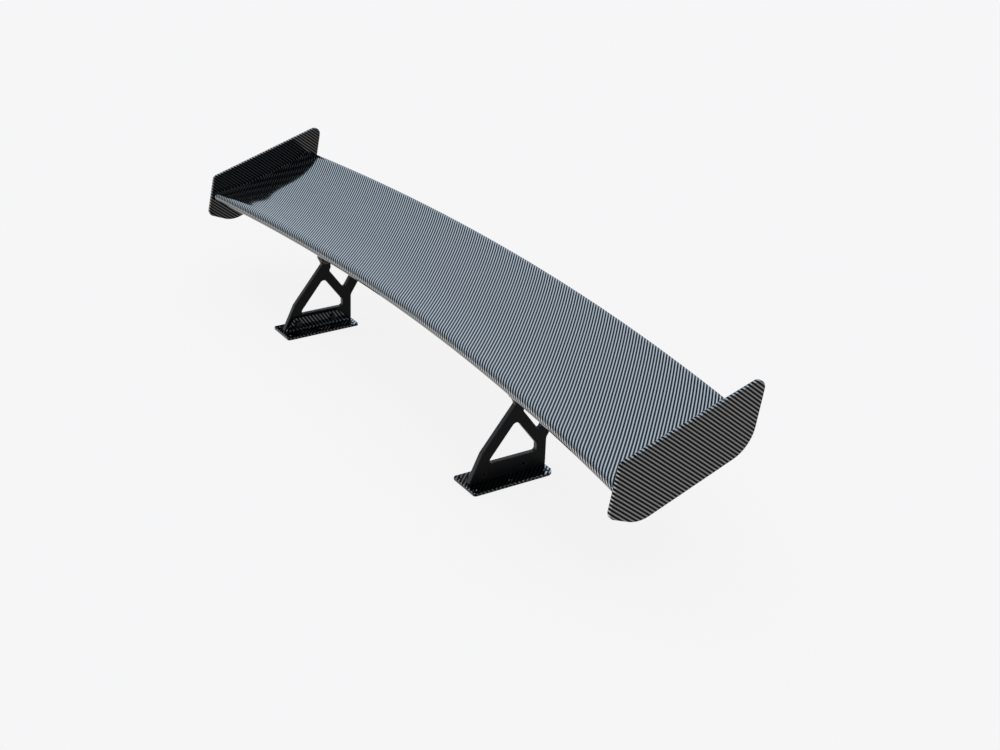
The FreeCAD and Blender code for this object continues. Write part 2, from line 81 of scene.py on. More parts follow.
def add(tree: Tree, kind: str, inputs: dict | None = None, **settings: object) -> Node:
    """Adds a shader node to a tree.

    Args:
        tree: The tree that gets the node.
        kind: The node's type after "ShaderNode", as in "Math".
        inputs: What each input gets: a value, or a socket or a node whose first output it is linked
            to. Keys are names or numbers.
        **settings: The node's own properties, as in operation="ADD".

    Returns:
        The new node.
    """
    node = tree.nodes.new("ShaderNode" + kind)
    for name, value in settings.items():
        setattr(node, name, value)
    for key, value in (inputs or {}).items():
        source = value.outputs[0] if isinstance(value, Node) else value
        if isinstance(source, Socket):
            tree.links.new(source, node.inputs[key])
        else:
            node.inputs[key].default_value = source
    return node


def cleared(owner: bpy.types.Material | bpy.types.World) -> Tree:
    """Gives the tree of a material or a world, emptied."""
    owner.use_nodes = True
    owner.node_tree.nodes.clear()
    return owner.node_tree


# ---- finishes -------------------------------------------------------------------------------

class Lay(Enum):
    """How a cloth lies on its piece."""

    SKIN = "by the piece's own cloth map"
    SIDE = "upright, in the YZ plane"
    FOOT = "flat on a foot's base, and upright on its flange"


@dataclass(frozen=True)
class TwillCarbon:
    """2x2 twill carbon cloth in clear epoxy, moulded and polished.

    The floats that run one way mirror the light and the others stay dark, which draws slanting ribs.
    Epoxy over the cloth adds a thin sharp gloss. The shares paint light and shade into the cloth's colour by
    the way a face looks:
    painted shade on faces that look down, inward or along a foot's flange, and a painted highlight on the
    plates' rims.
    """

    name: str
    bright: str
    dark: str
    tow_mm: float
    lay: Lay
    turn_deg: float = 0.0
    flange_turn_deg: float = 0.0
    roughness: float = 0.08
    coat: float = 0.05
    coat_roughness: float = 0.02
    relief: float = 0.003
    relief_mm: float = 0.08
    # a filament is 0.007 mm thick, so it is drawn as a coarser streak that can be seen
    fibre_mm: float = 0.16
    streaks_per_square: float = 0.25
    streak_shades: tuple[float, float] = (0.9, 1.1)
    float_rim_shade: float = 0.84
    float_rim: float = 0.55
    rib_shades: tuple[float, float] = (0.2, 1.2)
    rib_foot: float = -0.3
    # how steep a face's direction is where level faces, side faces and the underside begin
    level_above: float = 0.5
    side_above: float = 0.7
    under_shade_fade: tuple[float, float] = (-0.35, 0.15)
    # painted shade below 1 and painted highlight above 1, put into the cloth's colour on flanges, inner
    # faces, rims and undersides
    painted_flange_shade: float = 1.0
    painted_inner_shade: float = 1.0
    painted_rim_highlight: float = 1.0
    painted_under_shade: float = 1.0

    def cloth_point(self, tree: Tree) -> Socket:
        """Finds the place on the cloth.

        Args:
            tree: The material's tree.

        Returns:
            The place in tows, with x across the warp and y along it.
        """
        if self.lay is Lay.SKIN:
            return self.turned(tree, add(tree, "UVMap", uv_map="cloth"), self.turn_deg)
        point = add(tree, "SeparateXYZ", {0: add(tree, "TexCoord").outputs["Object"]}).outputs
        side = add(tree, "CombineXYZ", {0: point[1], 1: point[2]})
        if self.lay is Lay.SIDE:
            return self.turned(tree, side, self.turn_deg)
        flat = add(tree, "CombineXYZ", {0: point[0], 1: point[1]})
        laid = {"Factor": self.level(tree), 4: self.turned(tree, side, self.flange_turn_deg),
                5: self.turned(tree, flat, self.turn_deg)}
        return add(tree, "Mix", laid, data_type="VECTOR").outputs[1]

    def turned(self, tree: Tree, point: Node, degrees: float) -> Socket:
        """Turns a cloth and counts it in tows.

        Args:
            tree: The material's tree.
            point: The place before the turn, in metres.
            degrees: The turn.

        Returns:
            The place after the turn, in tows.
        """
        scale = 1 / (self.tow_mm * MM)
        return add(tree, "Mapping", {"Vector": point, "Rotation": (0, 0, math.radians(degrees)),
                                     "Scale": (scale, scale, scale)}).outputs[0]

    @staticmethod
    def facing(tree: Tree) -> list[Socket]:
        """Gives the x, y and z of the direction that a face looks in."""
        return list(add(tree, "SeparateXYZ", {0: add(tree, "NewGeometry").outputs["Normal"]}).outputs)

    def level(self, tree: Tree) -> Node:
        """Tells level faces, 1, from upright ones, 0."""
        slope = add(tree, "Math", {0: self.facing(tree)[2]}, operation="ABSOLUTE")
        return add(tree, "Math", {0: slope, 1: self.level_above}, operation="GREATER_THAN")

    def outward(self, tree: Tree) -> Node:
        """Tells how far a face looks away from the middle of the wing.

        Args:
            tree: The material's tree.

        Returns:
            A node that gives 1 on faces that look straight away from it, and -1 on those towards it.
        """
        place = add(tree, "SeparateXYZ", {0: add(tree, "TexCoord").outputs["Object"]})
        side = add(tree, "Math", {0: place}, operation="SIGN")
        return add(tree, "Math", {0: self.facing(tree)[0], 1: side}, operation="MULTIPLY")

    def painted_light_share(self, tree: Tree) -> Node:
        """Finds the painted light and shade on each face: how much of its brightness the cloth keeps there.

        Args:
            tree: The material's tree.

        Returns:
            A node that gives the share, 1 on the faces that the finish's colours are set for.
        """
        if self.lay is Lay.SKIN:
            # painted shade on the faces that look down
            low, high = self.under_shade_fade
            return add(tree, "MapRange", {"Value": self.facing(tree)[2], "From Min": low, "From Max": high,
                                          "To Min": self.painted_under_shade, "To Max": 1.0})
        # painted shade on a foot's upright flange
        if self.lay is Lay.FOOT:
            return add(tree, "Mix", {"Factor": self.level(tree), 2: self.painted_flange_shade, 3: 1.0})
        # painted shade on the faces that look inward, and a painted highlight on the rims between them
        outward = self.outward(tree)
        inner = add(tree, "Math", {0: outward, 1: -self.side_above}, operation="LESS_THAN")
        outer = add(tree, "Math", {0: outward, 1: self.side_above}, operation="GREATER_THAN")
        rest = add(tree, "Mix", {"Factor": inner, 2: self.painted_rim_highlight, 3: self.painted_inner_shade})
        return add(tree, "Mix", {"Factor": outer, 2: rest, 3: 1.0})

    def floats(self, tree: Tree, cloth: Socket) -> tuple[Node, Socket, Node]:
        """Finds which tow lies on top: each passes over two others, one place further in each row.

        Args:
            tree: The material's tree.
            cloth: The place on the cloth, in tows.

        Returns:
            A node that gives 1 where the warp is on top and 0 where the weft is, the place on the tow
            on top, with x across it and y along it, and a node that gives the bulge of its float,
            from 0 at the rim to 1 in the middle.
        """
        cell = add(tree, "VectorMath", {0: cloth}, operation="FLOOR")
        diagonal = add(tree, "VectorMath", {0: cell, 1: (1, 1, 0)}, operation="DOT_PRODUCT")
        step = add(tree, "Math", {0: diagonal.outputs["Value"], 1: 4.0}, operation="FLOORED_MODULO")
        warp_on_top = add(tree, "Math", {0: step, 1: 1.5}, operation="LESS_THAN")
        point = add(tree, "SeparateXYZ", {0: cloth}).outputs
        crossed = add(tree, "CombineXYZ", {0: point[1], 1: point[0]})
        tow = add(tree, "Mix", {"Factor": warp_on_top, 4: crossed, 5: cloth}, data_type="VECTOR").outputs[1]
        square = add(tree, "VectorMath", {0: tow}, operation="FRACTION")
        inside = add(tree, "SeparateXYZ", {0: square}).outputs
        half = add(tree, "Math", {0: step, 1: 2.0}, operation="FLOORED_MODULO")
        run = add(tree, "Math", {0: half, 1: inside[1]}, operation="ADD")
        along = add(tree, "Math", {0: run, 1: math.pi / 2}, operation="MULTIPLY")
        across = add(tree, "Math", {0: inside[0], 1: math.pi}, operation="MULTIPLY")
        swell = add(tree, "Math", {0: add(tree, "Math", {0: across}, operation="SINE"),
                                   1: add(tree, "Math", {0: along}, operation="SINE")}, operation="MULTIPLY")
        return warp_on_top, tow, swell

    def shade(self, tree: Tree, cloth: Socket, tow: Socket, swell: Node) -> Node:
        """Shades the cloth with the painted light and shade of each face, streaks of filaments, darker rims
        round the floats, and slanting ribs.

        Args:
            tree: The material's tree.
            cloth: The place on the cloth, in tows.
            tow: The place on the tow that lies on top.
            swell: The bulge of the float.

        Returns:
            A node that gives the number by which the cloth's colour is multiplied.
        """
        streaks_per_tow = (self.tow_mm / self.fibre_mm, self.streaks_per_square, 0)
        drawn = add(tree, "VectorMath", {0: tow, 1: streaks_per_tow}, operation="MULTIPLY")
        fibres = add(tree, "TexNoise", {"Vector": drawn, "Scale": 1.0, "Detail": 1.0}, noise_dimensions="2D")
        streaks = add(tree, "MapRange", {"Value": fibres, "From Min": NOISE_LOW, "From Max": NOISE_HIGH,
                                         "To Min": self.streak_shades[0], "To Max": self.streak_shades[1]})
        bulge = add(tree, "Math", {0: swell}, operation="SQRT")
        rims = add(tree, "MapRange", {"Value": bulge, "From Min": 0.0, "From Max": self.float_rim,
                                      "To Min": self.float_rim_shade, "To Max": 1.0})
        slant = add(tree, "VectorMath", {0: cloth, 1: (1, 1, 0)}, operation="DOT_PRODUCT").outputs["Value"]
        # one rib in four tows, with its crest in the middle of the warp floats
        phase = add(tree, "Math", {0: slant, 1: math.pi / 2, 2: -0.75 * math.pi}, operation="MULTIPLY_ADD")
        wave = add(tree, "Math", {0: phase}, operation="COSINE")
        ribs = add(tree, "MapRange", {"Value": wave, "From Min": self.rib_foot, "From Max": 1.0,
                                      "To Min": self.rib_shades[0], "To Max": self.rib_shades[1]})
        # painted light and shade by the way the face looks
        shade = self.painted_light_share(tree)
        for part in (streaks, rims, ribs):
            shade = add(tree, "Math", {0: shade, 1: part}, operation="MULTIPLY")
        return shade

    def material(self) -> bpy.types.Material:
        """Makes the material.

        Returns:
            The material, with its weave as colour and relief.
        """
        material = bpy.data.materials.new(self.name)
        tree = cleared(material)
        cloth = self.cloth_point(tree)
        warp_on_top, tow, swell = self.floats(tree, cloth)
        tone = add(tree, "Mix", {"Factor": warp_on_top, 6: linear(self.dark), 7: linear(self.bright)},
                   data_type="RGBA").outputs[2]
        lit = add(tree, "VectorMath", {0: tone, "Scale": self.shade(tree, cloth, tow, swell)},
                  operation="SCALE")
        relief = add(tree, "Bump", {"Height": swell, "Strength": self.relief,
                                    "Distance": self.relief_mm * MM})
        shader = add(tree, "BsdfPrincipled", {"Base Color": lit, "Normal": relief, "Metallic": 1.0,
                                              "Roughness": self.roughness, "Coat Weight": self.coat,
                                              "Coat Roughness": self.coat_roughness})
        add(tree, "OutputMaterial", {"Surface": shader})
        return material


@dataclass(frozen=True)
class Plain:
    """A metal, plastic or laminate with a fine grain and wide faint patches.

    Real grain is finer than can be seen, so its size is a coarser one that shows. Where a piece's cut
    edges are glossier than its faces, which look along X, edge_specular is their specular level.
    """

    name: str
    colour: str
    tint: str
    metallic: float
    roughness: float
    grain_mm: float
    relief: float = 0.15
    relief_mm: float = 0.05
    stretch: tuple[float, float, float] = (1.0, 1.0, 1.0)
    patches_per_metre: float = 35.0
    patch_share: float = 0.4
    tone_spread: tuple[float, float] = (0.35, 0.65)
    gloss_spread: float = 0.15
    specular: float = 0.5
    edge_specular: float | None = None
    edge_fade: tuple[float, float] = (0.6, 0.95)

    def material(self) -> bpy.types.Material:
        """Makes the material.

        Returns:
            The material, with grain of the finish's own size in colour, roughness and relief.
        """
        material = bpy.data.materials.new(self.name)
        tree = cleared(material)
        place = add(tree, "TexCoord").outputs["Object"]
        drawn = add(tree, "Mapping", {"Vector": place, "Scale": self.stretch})
        grain = add(tree, "TexNoise", {"Vector": drawn, "Scale": 1 / (self.grain_mm * MM), "Detail": 3.0})
        patches = add(tree, "TexNoise", {"Vector": place, "Scale": self.patches_per_metre, "Detail": 2.0})
        mixed = add(tree, "Mix", {"Factor": self.patch_share, 2: grain, 3: patches})
        tone = add(tree, "MapRange", {"Value": mixed, "From Min": self.tone_spread[0],
                                      "From Max": self.tone_spread[1]})
        colour = add(tree, "Mix", {"Factor": tone, 6: linear(self.colour), 7: linear(self.tint)},
                     data_type="RGBA").outputs[2]
        gloss = add(tree, "MapRange", {"Value": mixed, "From Min": NOISE_LOW, "From Max": NOISE_HIGH,
                                       "To Min": self.roughness * (1 - self.gloss_spread),
                                       "To Max": self.roughness * (1 + self.gloss_spread)})
        relief = add(tree, "Bump", {"Height": grain, "Strength": self.relief,
                                    "Distance": self.relief_mm * MM})
        shader = add(tree, "BsdfPrincipled", {"Base Color": colour, "Roughness": gloss, "Normal": relief,
                                              "Metallic": self.metallic,
                                              "Specular IOR Level": self.specular})
        if self.edge_specular is not None:
            tree.links.new(self.edge_gloss(tree).outputs[0], shader.inputs["Specular IOR Level"])
        add(tree, "OutputMaterial", {"Surface": shader})
        return material

    def edge_gloss(self, tree: Tree) -> Node:
        """Finds the specular level of a plate's faces and of its cut edges.

        Args:
            tree: The material's tree.

        Returns:
            A node that gives the level, by how far a face looks along X.
        """
        facing = add(tree, "SeparateXYZ", {0: add(tree, "NewGeometry").outputs["Normal"]})
        sideways = add(tree, "Math", {0: facing}, operation="ABSOLUTE")
        return add(tree, "MapRange", {"Value": sideways, "From Min": self.edge_fade[0],
                                      "From Max": self.edge_fade[1], "To Min": self.edge_specular,
                                      "To Max": self.specular})


# Moulded twill carbon with tows about 2 mm wide. The wing's top mirrors the blue-grey sky light and the feet
# show sharp black and white dashes.
# The one cloth gets a brighter float colour on the skins and the feet and a darker one on the end plates,
# which is painted light and shade, and its shares paint shade under the skins, on the plates' inner faces and
# on the feet's flanges, and a highlight on the plates' rims
SKIN_CARBON = TwillCarbon("twill_carbon_skin", "#C6C9CA", "#030507", 1.9, Lay.SKIN, painted_under_shade=0.16)
PLATE_CARBON = TwillCarbon("twill_carbon_plate", "#767675", "#010101", 1.9, Lay.SIDE, turn_deg=-5.3,
                           coat=0.04, painted_inner_shade=0.4, painted_rim_highlight=2.4)
FOOT_CARBON = TwillCarbon("twill_carbon_foot", "#BDC1C5", "#020203", 2.1, Lay.FOOT, flange_turn_deg=11.0,
                          painted_flange_shade=0.12)
# Bare laminate inside the wing, dull because nothing polished it
INNER_CARBON = Plain("bare_carbon_laminate", "#1B1C1E", "#2A2B2D", 0.0, 0.55, 1.2)
# Anodised plate, cut out: deep black faces with a low even sheen, and glossier edges
BLACK_PLATE = Plain("black_anodised_plate", "#09090A", "#0F0F10", 0.0, 0.42, 0.35, specular=0.07,
                    edge_specular=0.6)
# Anodised brackets, milled all over: black with an even satin sheen
BLACK_BRACKET = Plain("black_anodised_bracket", "#101011", "#171718", 0.0, 0.45, 0.35)
# Bare milled aluminium: bright, with grain drawn out along the cutter's path
MILLED = Plain("milled_aluminium", "#C4C5C7", "#B0B2B5", 1.0, 0.32, 0.4, stretch=(1.0, 0.08, 1.0))
# Turned bearing bronze: warm brown with a soft shine
BRONZE = Plain("turned_bronze", "#A9793F", "#946733", 1.0, 0.3, 0.3)
# Oiled black oxide on steel bolts and nuts: nearly black, with small soft highlights
OXIDE = Plain("black_oxide_steel", "#0E0E0F", "#161617", 0.0, 0.36, 0.25, specular=0.35)
# The same oxide on flush heads, dry and duller, so they show as dark spots in their plate
SUNK_HEAD = Plain("black_sunk_head", "#0B0B0C", "#111112", 0.0, 0.42, 0.3, specular=0.1)
# Moulded nylon: dark grey and matt
NYLON = Plain("moulded_nylon", "#1A1A1B", "#232324", 0.0, 0.5, 0.5)


def dress(names: list[str] | tuple[str, ...], finish: TwillCarbon | Plain) -> None:
    """Gives some of the frame's pieces one finish.

    Args:
        names: The nodes to dress.
        finish: Their finish.
    """
    material = made(finish)
    for name in names:
        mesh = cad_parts[name].data
        mesh.materials.clear()
        mesh.materials.append(material)
        LOG.info("dressed %s in %s", name, finish.name)


def both(name: str) -> list[str]:
    """The left and right nodes of a kind."""
    return [f"left_{name}", f"right_{name}"]


def piece_from(name: str, bm: bmesh.types.BMesh, finish: TwillCarbon | Plain) -> bpy.types.Object:
    """Makes an object of a finished bmesh.

    Args:
        name: The object's name.
        bm: Its shape, which is freed.
        finish: Its finish.

    Returns:
        The object, at the origin, with its place in its mesh.
    """
    mesh = bpy.data.meshes.new(name)
    bm.to_mesh(mesh)
    bm.free()
    mesh.materials.append(made(finish))
    piece = bpy.data.objects.new(name, mesh)
    bpy.context.scene.collection.objects.link(piece)
    LOG.info("built %s, %d faces", name, len(mesh.polygons))
    return piece


def made(finish: TwillCarbon | Plain) -> bpy.types.Material:
    """Gives a finish's material, which is made once."""
    return bpy.data.materials.get(finish.name) or finish.material()


# ---- the wing -------------------------------------------------------------------------------

class Side(Enum):
    """Which half of the section a skin covers."""

    UPPER = "upper"
    LOWER = "lower"


@dataclass
class SectionCurve:
    """A natural spline through a section's points, with its length measured from the nose."""

    points: list[Axis]
    nose: int
    samples: int = 3000

    def __post_init__(self) -> None:
        """Solves the curve and measures it."""
        p = np.array(self.points)
        knots = np.concatenate([[0.0], np.cumsum(np.linalg.norm(np.diff(p, axis=0), axis=1))])
        gaps = np.diff(knots)
        n = len(p)
        system, right = np.eye(n), np.zeros((n, 2))
        for i in range(1, n - 1):
            system[i, i - 1:i + 2] = gaps[i - 1], 2 * (gaps[i - 1] + gaps[i]), gaps[i]
            right[i] = 6 * ((p[i + 1] - p[i]) / gaps[i] - (p[i] - p[i - 1]) / gaps[i - 1])
        bend = np.linalg.solve(system, right)
        t = np.linspace(0, knots[-1], self.samples)
        i = np.clip(np.searchsorted(knots, t, side="right") - 1, 0, n - 2)
        h, before, after = gaps[i, None], (knots[i + 1] - t)[:, None], (t - knots[i])[:, None]
        self.line = (bend[i] * before ** 3 + bend[i + 1] * after ** 3) / (6 * h)
        self.line += (p[i] / h - bend[i] * h / 6) * before + (p[i + 1] / h - bend[i + 1] * h / 6) * after
        run = np.concatenate([[0.0], np.cumsum(np.linalg.norm(np.diff(self.line, axis=0), axis=1))])
        self.run = run - np.interp(knots[self.nose], t, run)

    def at(self, run: float) -> Axis:
        """The point at a length from the nose, positive towards the lower trailing edge."""
        x, y = (float(np.interp(run, self.run, self.line[:, part])) for part in (0, 1))
        return x, y


@dataclass
class Wing:
    """The bowed wing: two moulded skins over ribs and spars, with an end plate bonded to each tip.

    Sweep, drop, chord taper and wash grow with the square of the distance from the middle. The
    section's points are in chords, and crowding packs the steps of a skin towards its nose.
    """

    datum_y: float = -14.15 * MM
    leading_y: float = -62.4 * MM
    leading_z: float = 172.8 * MM
    sweep: float = 49.2 * MM
    drop: float = 5.3 * MM
    chord: float = 234.0 * MM
    chord_taper: float = 5.0 * MM
    incidence: float = 16.9
    wash: float = 1.4
    skin: float = 1.25 * MM
    span_steps: int = 120
    section_steps: int = 64
    crowding: float = 1.7
    upper: tuple = ((0, 0), (0.0123, 0.0277), (0.042, 0.040), (0.09, 0.033), (0.20, 0.009), (0.32, -0.0125),
                    (0.45, -0.0245), (0.60, -0.0312), (0.75, -0.0330), (0.86, -0.0275), (0.94, -0.0175),
                    (1, -0.005))
    lower: tuple = ((0, 0), (0.0123, -0.0317), (0.035, -0.050), (0.08, -0.074), (0.15, -0.098),
                    (0.25, -0.116), (0.37, -0.1225), (0.50, -0.1175), (0.65, -0.0965), (0.80, -0.068),
                    (0.92, -0.040), (1, -0.012))
    inside: tuple[str, ...] = ("centre_rib", *both("inner_rib"), *both("outer_rib"), *both("tip_rib"),
                               "front_spar", "rear_spar")

    def __post_init__(self) -> None:
        """Takes the span from the frame and draws the section."""
        self.half_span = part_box("wing_upper_skin")[1].x
        self.section = SectionCurve([*self.upper[::-1], *self.lower[1:]], len(self.upper) - 1)

    def place(self, u: float, x: float, y: float) -> Vector:
        """Puts a point of the section in its place on the wing.

        Args:
            u: Share of the half span, -1 to 1.
            x: Distance behind the nose in chords.
            y: Height over the chord line in chords.

        Returns:
            The point.
        """
        chord = self.chord - self.chord_taper * u * u
        tilt = math.radians(self.incidence + self.wash * u * u)
        along, up = x * chord, y * chord
        nose_y = self.datum_y + self.leading_y - self.sweep * u * u
        nose_z = self.leading_z - self.drop * u * u
        return Vector((u * self.half_span, nose_y + along * math.cos(tilt) - up * math.sin(tilt),
                       nose_z + along * math.sin(tilt) + up * math.cos(tilt)))

    def skin_piece(self, side: Side) -> bpy.types.Object:
        """Moulds one skin from the nose to the trailing edge.

        Args:
            side: Which skin.

        Returns:
            The skin, with a cloth map whose tows run straight along the span and the chord.
        """
        sign = -1 if side is Side.UPPER else 1
        reach = abs(self.section.run[0 if side is Side.UPPER else -1])
        bm = bmesh.new()
        bmesh.ops.create_grid(bm, x_segments=self.span_steps, y_segments=self.section_steps, size=1.0)
        cloth_map = bm.loops.layers.uv.new("cloth")
        cloth = {}
        for vertex in bm.verts:
            u, painted_light_share = vertex.co.x, (vertex.co.y + 1) / 2
            run = reach * painted_light_share ** self.crowding
            vertex.co = self.place(u, *self.section.at(sign * run))
            cloth[vertex] = (u * self.half_span, run * self.chord - self.sweep * u * u)
        for face in bm.faces:
            for loop in face.loops:
                loop[cloth_map].uv = cloth[loop.vert]
            face.smooth = True
        bmesh.ops.recalc_face_normals(bm, faces=bm.faces[:])
        middle = min(bm.faces, key=lambda f: (f.calc_center_median() - self.place(0, 0.5, 0)).length)
        if middle.normal.z * sign > 0:
            bmesh.ops.reverse_faces(bm, faces=bm.faces[:])
        piece = piece_from(f"{side.value}_skin", bm, SKIN_CARBON)
        wall = piece.modifiers.new("wall", "SOLIDIFY")
        wall.thickness, wall.offset, wall.use_even_offset = self.skin, -1.0, True
        return piece

    def build(self) -> None:
        """Makes both skins and hangs them on the wing."""
        for side in Side:
            piece = self.skin_piece(side)
            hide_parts(f"wing_{side.value}_skin")
            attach(piece, "wing")

    def dress(self) -> None:
        """Finishes the plates, ribs, spars and hardpoints."""
        dress(both("end_plate"), PLATE_CARBON)
        dress(self.inside, INNER_CARBON)
        dress(both("hardpoint"), MILLED)


# ---- stand and hardware ---------------------------------------------------------------------

@dataclass
class Stand:
    """Two uprights on moulded feet, which keep the frame's own shapes and sizes."""

    def dress(self) -> None:
        """Finishes the uprights and the feet."""
        dress(both("upright"), BLACK_PLATE)
        dress(both("foot"), FOOT_CARBON)


@dataclass(frozen=True)
class Ring:
    """One ring of a turned piece: its place along X, and its radius or half its width across flats."""

    at: float
    radius: float
    hexagonal: bool = False


@dataclass(frozen=True)
class Bolt:
    """One size of bolt and its lock nut. A sunk head has no height of its own."""

    shank_r: float
    pitch: float
    threaded: float
    head_r: float
    socket: float
    nut_height: float
    nut_across: float
    head_height: float = 0.0


M8 = Bolt(shank_r=4.0 * MM, pitch=1.25 * MM, threaded=15.0 * MM, head_r=7.0 * MM, socket=5.0 * MM,
          nut_height=8.0 * MM, nut_across=13.0 * MM, head_height=4.4 * MM)
M6 = Bolt(shank_r=3.0 * MM, pitch=1.0 * MM, threaded=12.0 * MM, head_r=5.8 * MM, socket=4.0 * MM,
          nut_height=6.0 * MM, nut_across=10.0 * MM)


@dataclass
class Turning:
    """Small turned and hexagonal pieces on axes along X, drawn on the right and mirrored to the left.

    The numbers by which a ring's radius or place is multiplied are shares of the piece's own sizes.
    Edges that turn by more than the sharp angle stay crisp.
    """

    segments: int = 48
    dome_steps: int = 8
    sharp: float = math.radians(28)
    rim: float = 0.15 * MM
    sunk_top: float = 0.25 * MM
    socket_rim: float = 0.2 * MM

    def __post_init__(self) -> None:
        """Starts an empty shape."""
        self.bm = bmesh.new()

    def lathe(self, rings: list[Ring], axis: Axis, bored: bool) -> None:
        """Joins rings into one closed piece.

        Args:
            rings: The rings in order along the surface.
            axis: Height and place of the axis, as y and z.
            bored: Whether the last ring joins the first one, as in a washer, or both ends are capped.
        """
        loops = []
        for ring in rings:
            verts = bmesh.ops.create_circle(self.bm, segments=self.segments, radius=ring.radius)["verts"]
            if ring.hexagonal:
                for vertex in verts:
                    turn = (math.atan2(vertex.co.y, vertex.co.x) + math.pi / 6) % (math.pi / 3) - math.pi / 6
                    vertex.co /= math.cos(turn)
            lay = Matrix(((0, 0, 1, ring.at), (1, 0, 0, axis[0]), (0, 1, 0, axis[1]), (0, 0, 0, 1)))
            bmesh.ops.transform(self.bm, matrix=lay, verts=verts)
            loops.append(list({edge for vertex in verts for edge in vertex.link_edges}))
        for first, second in zip(loops, loops[1:] + (loops[:1] if bored else [])):
            bmesh.ops.bridge_loops(self.bm, edges=first + second)
        if not bored:
            for loop in (loops[0], loops[-1]):
                bmesh.ops.holes_fill(self.bm, edges=loop, sides=self.segments)

    def washer(self, axis: Axis, x: float, thickness: float, radius: float, bore: float) -> None:
        """Turns a washer with softened rims.

        Args:
            axis: The axis, as y and z.
            x: Where its inboard face lies.
            thickness: Its thickness, towards +X.
            radius: Its outer radius.
            bore: Its bore's radius.
        """
        far = x + thickness
        self.lathe([Ring(x, bore), Ring(x, radius - self.rim), Ring(x + self.rim, radius),
                    Ring(far - self.rim, radius), Ring(far, radius - self.rim), Ring(far, bore)], axis, True)

    def nut(self, bolt: Bolt, axis: Axis, seat: float) -> None:
        """Makes a lock nut that stands from its seat towards -X, with chamfers and a rolled collar.

        Args:
            bolt: The bolt's size.
            axis: The axis, as y and z.
            seat: Where the seat lies.
        """
        flat, bore, height = bolt.nut_across / 2, bolt.shank_r, bolt.nut_height
        top = seat - height
        self.lathe([Ring(seat, bore * 1.1), Ring(seat, flat * 0.96), Ring(seat - height * 0.06, flat, True),
                    Ring(top + height * 0.36, flat, True), Ring(top + height * 0.29, flat * 0.97),
                    Ring(top + height * 0.26, flat * 0.84), Ring(top + height * 0.1, flat * 0.82),
                    Ring(top, flat * 0.72), Ring(top, bore * 1.12), Ring(top + height * 0.08, bore),
                    Ring(seat - height * 0.05, bore)], axis, True)

    def shank(self, bolt: Bolt, tip: float, end: float) -> list[Ring]:
        """Draws a bolt's shank, with ridges of thread along part of it.

        Args:
            bolt: The bolt's size.
            tip: Where the shank starts.
            end: Where it meets the head.

        Returns:
            The rings from the tip outwards.
        """
        radius, pitch = bolt.shank_r, bolt.pitch
        rings = [Ring(tip, radius * 0.78), Ring(tip + pitch / 2, radius * 0.96)]
        for i in range(1, int(bolt.threaded / pitch)):
            rings += [Ring(tip + pitch * i, radius * 0.87), Ring(tip + pitch * (i + 0.5), radius)]
        return rings + [Ring(tip + bolt.threaded, radius), Ring(end, radius)]

    def domed_head(self, bolt: Bolt, seat: float) -> list[Ring]:
        """Draws a button head and its hexagonal socket.

        Args:
            bolt: The bolt's size.
            seat: Where the head's underside lies.

        Returns:
            The rings from the seat outwards.
        """
        height, radius, key_r = bolt.head_height, bolt.head_r, bolt.socket / 2
        round_r, top = height * 0.6, seat + height
        turns = (math.pi / 2 * i / self.dome_steps for i in range(self.dome_steps + 1))
        dome = [Ring(top - round_r * (1 - math.sin(t)), radius - round_r * (1 - math.cos(t))) for t in turns]
        return [Ring(seat, radius * 0.97), Ring(seat + height * 0.06, radius), *dome, Ring(top, key_r * 1.12),
                Ring(top - height * 0.06, key_r, True), Ring(top - height / 2, key_r, True)]

    def sunk_head(self, bolt: Bolt, face: float) -> list[Ring]:
        """Draws a countersunk head flush with a face, and its hexagonal socket.

        Args:
            bolt: The bolt's size.
            face: Where the face lies.

        Returns:
            The rings from the shank outwards.
        """
        radius, shank, key_r = bolt.head_r, bolt.shank_r, bolt.socket / 2
        return [Ring(face - (radius - shank), shank), Ring(face - self.rim, radius - self.rim),
                Ring(face, radius - self.sunk_top), Ring(face, key_r * 1.1),
                Ring(face - self.socket_rim, key_r, True), Ring(face - shank * 0.8, key_r, True)]

    def finished(self, node: str, finish: Plain) -> None:
        """Mirrors the pieces to the left side and hangs them on the stand in place of a node.

        Args:
            node: The node that they take the place of.
            finish: Their finish.
        """
        whole = self.bm.verts[:] + self.bm.edges[:] + self.bm.faces[:]
        copies = bmesh.ops.duplicate(self.bm, geom=whole)["geom"]
        verts = [item for item in copies if isinstance(item, bmesh.types.BMVert)]
        bmesh.ops.transform(self.bm, matrix=Matrix.Scale(-1, 4, (1, 0, 0)), verts=verts)
        bmesh.ops.recalc_face_normals(self.bm, faces=self.bm.faces[:])
        for face in self.bm.faces:
            face.smooth = True
        for edge in self.bm.edges:
            edge.smooth = edge.calc_face_angle(0.0) < self.sharp
        piece = piece_from(f"turned_{node}", self.bm, finish)
        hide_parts(node)
        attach(piece, "stand")


